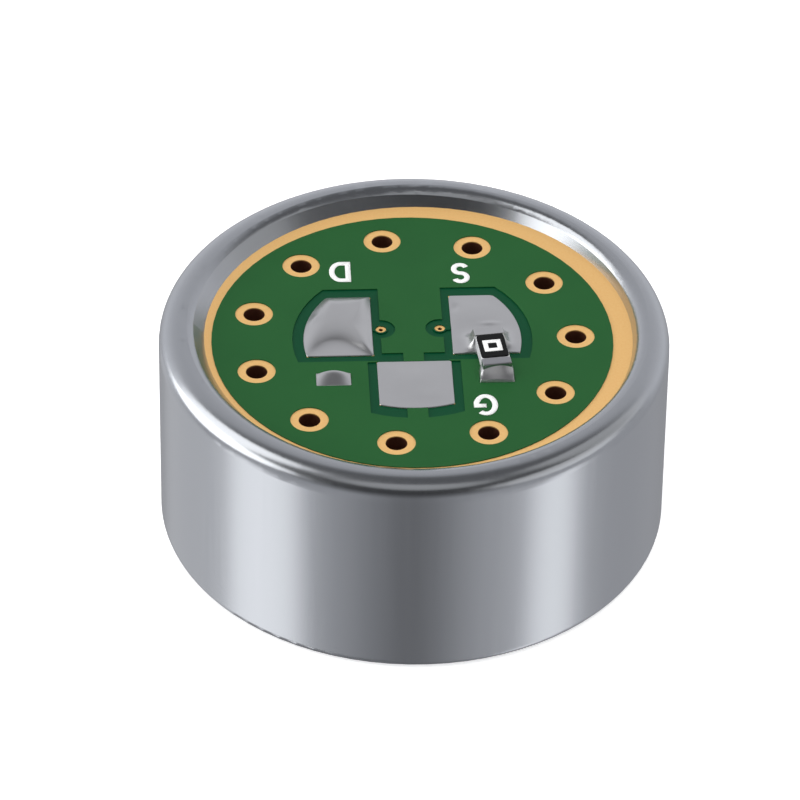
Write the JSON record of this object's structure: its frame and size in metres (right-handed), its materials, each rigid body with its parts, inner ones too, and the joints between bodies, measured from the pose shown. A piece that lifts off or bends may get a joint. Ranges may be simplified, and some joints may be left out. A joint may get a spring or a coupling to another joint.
{
  "type": "condenser microphone capsule",
  "caption": "Round electret microphone capsule: rolled-lip metal can, perforated inlet face, and a rear printed board with ring vents and tinned terminal pads.",
  "frame": {"origin": "middle of the sound inlet face, the face the capsule stands on", "axes": "+Z from the inlet face to the terminal board, +X and +Y across the capsule, with the source pad towards +X and the ground pad towards -Y"},
  "size_m": [0.014, 0.014, 0.0064],
  "materials": {
    "case_metal": "satin",
    "woven_screen": "matte",
    "brass": "satin",
    "metallised_film": "polished",
    "clear_film": "gloss",
    "black_moulding": "matte",
    "felt": "matte",
    "board_laminate": "satin",
    "gilded_copper": "satin",
    "solder_mask": "satin",
    "solder": "satin",
    "tinned_ends": "satin",
    "chip_ceramic": "matte",
    "black_overcoat": "gloss",
    "capacitor_ceramic": "matte"
  },
  "bodies": {
    "root": {"case": "case_metal", "dust_screen": "woven_screen", "diaphragm_ring": "brass", "diaphragm": "metallised_film", "diaphragm_spacer": "clear_film", "electret_film": "clear_film", "back_plate": "brass", "plate_holder": "black_moulding", "contact_ring": "brass", "damping_ring": "felt", "board_base": "board_laminate", "ground_copper": "gilded_copper", "pad_copper": "gilded_copper", "rear_mask": "solder_mask", "inner_copper": "gilded_copper", "inner_mask": "solder_mask", "vent_barrels": "gilded_copper", "via_barrels": "gilded_copper", "drain_solder": "solder", "source_solder": "solder", "ground_solder": "solder", "spare_land_solder": "solder", "chip_land_solder": "solder", "inner_solder": "solder", "chip_body": "chip_ceramic", "chip_terminals": "tinned_ends", "chip_overcoat": "black_overcoat", "transistor_body": "black_moulding", "transistor_leads": "tinned_ends", "capacitor_bodies": "capacitor_ceramic", "capacitor_terminals": "tinned_ends"}
  },
  "joints": []
}
